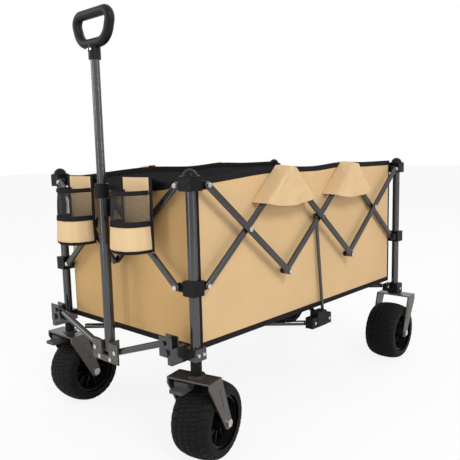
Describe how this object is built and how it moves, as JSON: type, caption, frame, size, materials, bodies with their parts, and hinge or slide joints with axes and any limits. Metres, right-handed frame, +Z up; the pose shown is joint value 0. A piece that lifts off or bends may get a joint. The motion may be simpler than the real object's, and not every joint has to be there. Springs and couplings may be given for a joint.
{
  "type": "folding beach cart",
  "caption": "Folding beach cart: cloth bag in a two-way scissor frame on posts with wide swivel casters, front cup pockets and a telescoping pull handle.",
  "frame": {"origin": "on the ground, under the centre of the open cart's outer box", "axes": "+Z up, -Y towards the pull handle (front), +X to the cart's right side seen from behind the load looking to the rear"},
  "size_m": [0.6466, 1.1796, 1.0415],
  "materials": {
    "bag_cloth": "woven, matte",
    "mat_cloth": "woven, matte",
    "cup_cloth": "woven, matte",
    "bar_steel": "gunmetal, semi gloss",
    "post_steel": "gunmetal, gloss",
    "fork_steel": "satin",
    "corner_plastic": "moulded",
    "tyre_rubber": "matte",
    "rim_plastic": "moulded",
    "pedal_plastic": "moulded",
    "strut_plastic": "moulded",
    "grip_plastic": "moulded",
    "collar_plastic": "moulded",
    "handle_steel": "gunmetal, gloss"
  },
  "bodies": {
    "cargo": {"cargo_bag": "bag_cloth", "floor_mat": "mat_cloth", "under_frame": "bar_steel", "cup_holder_left": "cup_cloth", "cup_holder_right": "cup_cloth"},
    "post_fr": {"corner_post_fr": "post_steel", "post_cap_fr": "corner_plastic"},
    "slider_fr": {"slide_bracket_fr": "corner_plastic"},
    "fork_fr": {"caster_fork_fr": "fork_steel"},
    "wheel_fr": {"tyre_fr": "tyre_rubber", "rim_fr": "rim_plastic"},
    "pedal_fr": {"brake_pedal_fr": "pedal_plastic"},
    "post_fl": {"corner_post_fl": "post_steel", "post_cap_fl": "corner_plastic"},
    "slider_fl": {"slide_bracket_fl": "corner_plastic"},
    "fork_fl": {"caster_fork_fl": "fork_steel"},
    "wheel_fl": {"tyre_fl": "tyre_rubber", "rim_fl": "rim_plastic"},
    "pedal_fl": {"brake_pedal_fl": "pedal_plastic"},
    "post_rr": {"corner_post_rr": "post_steel", "post_cap_rr": "corner_plastic"},
    "slider_rr": {"slide_bracket_rr": "corner_plastic"},
    "fork_rr": {"caster_fork_rr": "fork_steel"},
    "wheel_rr": {"tyre_rr": "tyre_rubber", "rim_rr": "rim_plastic"},
    "post_rl": {"corner_post_rl": "post_steel", "post_cap_rl": "corner_plastic"},
    "slider_rl": {"slide_bracket_rl": "corner_plastic"},
    "fork_rl": {"caster_fork_rl": "fork_steel"},
    "wheel_rl": {"tyre_rl": "tyre_rubber", "rim_rl": "rim_plastic"},
    "strut_right": {"centre_strut_right": "strut_plastic"},
    "right_front_cap_bar": {"right_front_cap_bar": "bar_steel"},
    "right_front_slider_bar": {"right_front_slider_bar": "bar_steel"},
    "right_rear_cap_bar": {"right_rear_cap_bar": "bar_steel"},
    "right_rear_slider_bar": {"right_rear_slider_bar": "bar_steel"},
    "right_mid_rising_bar": {"right_mid_rising_bar": "bar_steel"},
    "right_mid_falling_bar": {"right_mid_falling_bar": "bar_steel"},
    "strut_left": {"centre_strut_left": "strut_plastic"},
    "left_front_cap_bar": {"left_front_cap_bar": "bar_steel"},
    "left_front_slider_bar": {"left_front_slider_bar": "bar_steel"},
    "left_rear_cap_bar": {"left_rear_cap_bar": "bar_steel"},
    "left_rear_slider_bar": {"left_rear_slider_bar": "bar_steel"},
    "left_mid_rising_bar": {"left_mid_rising_bar": "bar_steel"},
    "left_mid_falling_bar": {"left_mid_falling_bar": "bar_steel"},
    "front_left_cap_bar": {"front_left_cap_bar": "bar_steel"},
    "front_left_slider_bar": {"front_left_slider_bar": "bar_steel"},
    "front_right_cap_bar": {"front_right_cap_bar": "bar_steel"},
    "front_right_slider_bar": {"front_right_slider_bar": "bar_steel"},
    "rear_left_cap_bar": {"rear_left_cap_bar": "bar_steel"},
    "rear_left_slider_bar": {"rear_left_slider_bar": "bar_steel"},
    "rear_right_cap_bar": {"rear_right_cap_bar": "bar_steel"},
    "rear_right_slider_bar": {"rear_right_slider_bar": "bar_steel"},
    "tow_plate": {"tow_plate": "fork_steel"},
    "tow_bar_right": {"tow_bar_right": "bar_steel"},
    "tow_bar_left": {"tow_bar_left": "bar_steel"},
    "handle_lower": {"handle_lower_tube": "handle_steel", "handle_collar": "collar_plastic"},
    "handle_upper": {"handle_upper_tube": "handle_steel", "handle_grip": "grip_plastic"}
  },
  "joints": [
    {"name": "fold", "type": "slide", "parent": "cargo", "child": "post_fr", "axis": [-0.4586, 0.8886, 0], "range_m": [0, 0.2749], "deforming": ["cargo_bag", "floor_mat", "under_frame", "cup_holder_left", "cup_holder_right"]},
    {"name": "fold_post_fl", "type": "slide", "parent": "cargo", "child": "post_fl", "axis": [0.4586, 0.8886, 0], "range_m": [0, 0.2749]},
    {"name": "fold_post_rr", "type": "slide", "parent": "cargo", "child": "post_rr", "axis": [-0.4586, -0.8886, 0], "range_m": [0, 0.2749]},
    {"name": "fold_post_rl", "type": "slide", "parent": "cargo", "child": "post_rl", "axis": [0.4586, -0.8886, 0], "range_m": [0, 0.2749]},
    {"name": "slider_drop_fr", "type": "slide", "parent": "post_fr", "child": "slider_fr", "axis": [0, 0, -1], "range_m": [0, 0.10541]},
    {"name": "swivel_fr", "type": "hinge", "parent": "post_fr", "child": "fork_fr", "pos_m": [0.25859, -0.48884, 0.21], "axis": [0, 0, 1], "continuous": true},
    {"name": "wheel_spin_fr", "type": "hinge", "parent": "fork_fr", "child": "wheel_fr", "pos_m": [0.24959, -0.44987, 0.092], "axis": [0.9744, 0.225, 0], "continuous": true},
    {"name": "brake_fr", "type": "hinge", "parent": "fork_fr", "child": "pedal_fr", "pos_m": [0.24293, -0.50991, 0.196], "axis": [0.9744, 0.225, 0], "range_deg": [0, 12]},
    {"name": "slider_drop_fl", "type": "slide", "parent": "post_fl", "child": "slider_fl", "axis": [0, 0, -1], "range_m": [0, 0.10541]},
    {"name": "swivel_fl", "type": "hinge", "parent": "post_fl", "child": "fork_fl", "pos_m": [-0.25941, -0.48884, 0.21], "axis": [0, 0, 1], "continuous": true},
    {"name": "wheel_spin_fl", "type": "hinge", "parent": "fork_fl", "child": "wheel_fl", "pos_m": [-0.2608, -0.44887, 0.092], "axis": [0.9994, 0.0349, 0], "continuous": true},
    {"name": "brake_fl", "type": "hinge", "parent": "fork_fl", "child": "pedal_fl", "pos_m": [-0.2788, -0.50653, 0.196], "axis": [0.9994, 0.0349, 0], "range_deg": [0, 12]},
    {"name": "slider_drop_rr", "type": "slide", "parent": "post_rr", "child": "slider_rr", "axis": [0, 0, -1], "range_m": [0, 0.10541]},
    {"name": "swivel_rr", "type": "hinge", "parent": "post_rr", "child": "fork_rr", "pos_m": [0.25859, 0.45516, 0.21], "axis": [0, 0, 1], "continuous": true},
    {"name": "wheel_spin_rr", "type": "hinge", "parent": "fork_rr", "child": "wheel_rr", "pos_m": [0.26069, 0.41521, 0.092], "axis": [-0.9986, -0.0523, 0], "continuous": true},
    {"name": "slider_drop_rl", "type": "slide", "parent": "post_rl", "child": "slider_rl", "axis": [0, 0, -1], "range_m": [0, 0.10541]},
    {"name": "swivel_rl", "type": "hinge", "parent": "post_rl", "child": "fork_rl", "pos_m": [-0.25941, 0.45516, 0.21], "axis": [0, 0, 1], "continuous": true},
    {"name": "wheel_spin_rl", "type": "hinge", "parent": "fork_rl", "child": "wheel_rl", "pos_m": [-0.25384, 0.49477, 0.092], "axis": [0.9903, -0.1392, 0], "continuous": true},
    {"name": "strut_travel_right", "type": "slide", "parent": "cargo", "child": "strut_right", "axis": [-0.9226, 0, -0.3857], "range_m": [0, 0.13665]},
    {"name": "right_front_cap_bar_hinge", "type": "hinge", "parent": "post_fr", "child": "right_front_cap_bar", "pos_m": [0.28009, -0.45704, 0.636], "axis": [-1, 0, 0], "range_deg": [0, 30.22]},
    {"name": "right_front_slider_bar_hinge", "type": "hinge", "parent": "slider_fr", "child": "right_front_slider_bar", "pos_m": [0.27009, -0.45704, 0.411], "axis": [1, 0, 0], "range_deg": [0, 30.22]},
    {"name": "right_rear_cap_bar_hinge", "type": "hinge", "parent": "post_rr", "child": "right_rear_cap_bar", "pos_m": [0.27009, 0.42336, 0.636], "axis": [1, 0, 0], "range_deg": [0, 30.22]},
    {"name": "right_rear_slider_bar_hinge", "type": "hinge", "parent": "slider_rr", "child": "right_rear_slider_bar", "pos_m": [0.26009, 0.42336, 0.411], "axis": [-1, 0, 0], "range_deg": [0, 30.22]},
    {"name": "right_mid_rising_bar_hinge", "type": "hinge", "parent": "strut_right", "child": "right_mid_rising_bar", "pos_m": [0.27009, -0.01684, 0.5235], "axis": [1, 0, 0], "range_deg": [0, 30.22]},
    {"name": "right_mid_falling_bar_hinge", "type": "hinge", "parent": "strut_right", "child": "right_mid_falling_bar", "pos_m": [0.28009, -0.01684, 0.5235], "axis": [-1, 0, 0], "range_deg": [0, 30.22]},
    {"name": "strut_travel_left", "type": "slide", "parent": "cargo", "child": "strut_left", "axis": [0.9226, 0, -0.3857], "range_m": [0, 0.13665]},
    {"name": "left_front_cap_bar_hinge", "type": "hinge", "parent": "post_fl", "child": "left_front_cap_bar", "pos_m": [-0.28091, -0.45704, 0.636], "axis": [-1, 0, 0], "range_deg": [0, 30.22]},
    {"name": "left_front_slider_bar_hinge", "type": "hinge", "parent": "slider_fl", "child": "left_front_slider_bar", "pos_m": [-0.27091, -0.45704, 0.411], "axis": [1, 0, 0], "range_deg": [0, 30.22]},
    {"name": "left_rear_cap_bar_hinge", "type": "hinge", "parent": "post_rl", "child": "left_rear_cap_bar", "pos_m": [-0.27091, 0.42336, 0.636], "axis": [1, 0, 0], "range_deg": [0, 30.22]},
    {"name": "left_rear_slider_bar_hinge", "type": "hinge", "parent": "slider_rl", "child": "left_rear_slider_bar", "pos_m": [-0.26091, 0.42336, 0.411], "axis": [-1, 0, 0], "range_deg": [0, 30.22]},
    {"name": "left_mid_rising_bar_hinge", "type": "hinge", "parent": "strut_left", "child": "left_mid_rising_bar", "pos_m": [-0.27091, -0.01684, 0.5235], "axis": [1, 0, 0], "range_deg": [0, 30.22]},
    {"name": "left_mid_falling_bar_hinge", "type": "hinge", "parent": "strut_left", "child": "left_mid_falling_bar", "pos_m": [-0.28091, -0.01684, 0.5235], "axis": [-1, 0, 0], "range_deg": [0, 30.22]},
    {"name": "front_left_cap_bar_hinge", "type": "hinge", "parent": "post_fl", "child": "front_left_cap_bar", "pos_m": [-0.22761, -0.51034, 0.636], "axis": [0, 1, 0], "range_deg": [0, 30.22]},
    {"name": "front_left_slider_bar_hinge", "type": "hinge", "parent": "slider_fl", "child": "front_left_slider_bar", "pos_m": [-0.22761, -0.50034, 0.411], "axis": [0, -1, 0], "range_deg": [0, 30.22]},
    {"name": "front_right_cap_bar_hinge", "type": "hinge", "parent": "post_fr", "child": "front_right_cap_bar", "pos_m": [0.22679, -0.50034, 0.636], "axis": [0, -1, 0], "range_deg": [0, 30.22]},
    {"name": "front_right_slider_bar_hinge", "type": "hinge", "parent": "slider_fr", "child": "front_right_slider_bar", "pos_m": [0.22679, -0.51034, 0.411], "axis": [0, 1, 0], "range_deg": [0, 30.22]},
    {"name": "rear_left_cap_bar_hinge", "type": "hinge", "parent": "post_rl", "child": "rear_left_cap_bar", "pos_m": [-0.22761, 0.47666, 0.636], "axis": [0, 1, 0], "range_deg": [0, 30.22]},
    {"name": "rear_left_slider_bar_hinge", "type": "hinge", "parent": "slider_rl", "child": "rear_left_slider_bar", "pos_m": [-0.22761, 0.46666, 0.411], "axis": [0, -1, 0], "range_deg": [0, 30.22]},
    {"name": "rear_right_cap_bar_hinge", "type": "hinge", "parent": "post_rr", "child": "rear_right_cap_bar", "pos_m": [0.22679, 0.46666, 0.636], "axis": [0, -1, 0], "range_deg": [0, 30.22]},
    {"name": "rear_right_slider_bar_hinge", "type": "hinge", "parent": "slider_rr", "child": "rear_right_slider_bar", "pos_m": [0.22679, 0.47666, 0.411], "axis": [0, 1, 0], "range_deg": [0, 30.22]},
    {"name": "tow_plate_travel", "type": "slide", "parent": "cargo", "child": "tow_plate", "axis": [0, 0.8957, -0.4447], "range_m": [0, 0.27274]},
    {"name": "tow_bar_right_hinge", "type": "hinge", "parent": "post_fr", "child": "tow_bar_right", "pos_m": [0.22159, -0.53834, 0.292], "axis": [0, -1, 0], "range_deg": [0, 54.03]},
    {"name": "tow_bar_left_hinge", "type": "hinge", "parent": "post_fl", "child": "tow_bar_left", "pos_m": [-0.22241, -0.53834, 0.292], "axis": [0, 1, 0], "range_deg": [0, 54.03]},
    {"name": "handle_tilt", "type": "hinge", "parent": "tow_plate", "child": "handle_lower", "pos_m": [-0.00041, -0.53484, 0.236], "axis": [1, 0, 0], "range_deg": [0, 90]},
    {"name": "handle_reach", "type": "slide", "parent": "handle_lower", "child": "handle_upper", "axis": [0, 0, 1], "range_m": [-0.28, 0]}
  ],
  "couplings": [
    {"joint": "fold_post_fl", "follows": "fold", "ratio": 1},
    {"joint": "fold_post_rr", "follows": "fold", "ratio": 1},
    {"joint": "fold_post_rl", "follows": "fold", "ratio": 1},
    {"joint": "slider_drop_fr", "follows": "fold", "ratio": 0.38346},
    {"joint": "slider_drop_fl", "follows": "fold", "ratio": 0.38346},
    {"joint": "slider_drop_rr", "follows": "fold", "ratio": 0.38346},
    {"joint": "slider_drop_rl", "follows": "fold", "ratio": 0.38346},
    {"joint": "strut_travel_right", "follows": "fold", "ratio": 0.49711},
    {"joint": "right_front_cap_bar_hinge", "follows": "fold", "rad_per_m": 1.9184},
    {"joint": "right_front_slider_bar_hinge", "follows": "fold", "rad_per_m": 1.9184},
    {"joint": "right_rear_cap_bar_hinge", "follows": "fold", "rad_per_m": 1.9184},
    {"joint": "right_rear_slider_bar_hinge", "follows": "fold", "rad_per_m": 1.9184},
    {"joint": "right_mid_rising_bar_hinge", "follows": "fold", "rad_per_m": 1.9184},
    {"joint": "right_mid_falling_bar_hinge", "follows": "fold", "rad_per_m": 1.9184},
    {"joint": "strut_travel_left", "follows": "fold", "ratio": 0.49711},
    {"joint": "left_front_cap_bar_hinge", "follows": "fold", "rad_per_m": 1.9184},
    {"joint": "left_front_slider_bar_hinge", "follows": "fold", "rad_per_m": 1.9184},
    {"joint": "left_rear_cap_bar_hinge", "follows": "fold", "rad_per_m": 1.9184},
    {"joint": "left_rear_slider_bar_hinge", "follows": "fold", "rad_per_m": 1.9184},
    {"joint": "left_mid_rising_bar_hinge", "follows": "fold", "rad_per_m": 1.9184},
    {"joint": "left_mid_falling_bar_hinge", "follows": "fold", "rad_per_m": 1.9184},
    {"joint": "front_left_cap_bar_hinge", "follows": "fold", "rad_per_m": 1.9184},
    {"joint": "front_left_slider_bar_hinge", "follows": "fold", "rad_per_m": 1.9184},
    {"joint": "front_right_cap_bar_hinge", "follows": "fold", "rad_per_m": 1.9184},
    {"joint": "front_right_slider_bar_hinge", "follows": "fold", "rad_per_m": 1.9184},
    {"joint": "rear_left_cap_bar_hinge", "follows": "fold", "rad_per_m": 1.9184},
    {"joint": "rear_left_slider_bar_hinge", "follows": "fold", "rad_per_m": 1.9184},
    {"joint": "rear_right_cap_bar_hinge", "follows": "fold", "rad_per_m": 1.9184},
    {"joint": "rear_right_slider_bar_hinge", "follows": "fold", "rad_per_m": 1.9184},
    {"joint": "tow_plate_travel", "follows": "fold", "ratio": 0.99215},
    {"joint": "tow_bar_right_hinge", "follows": "fold", "rad_per_m": 3.4302},
    {"joint": "tow_bar_left_hinge", "follows": "fold", "rad_per_m": 3.4302}
  ]
}
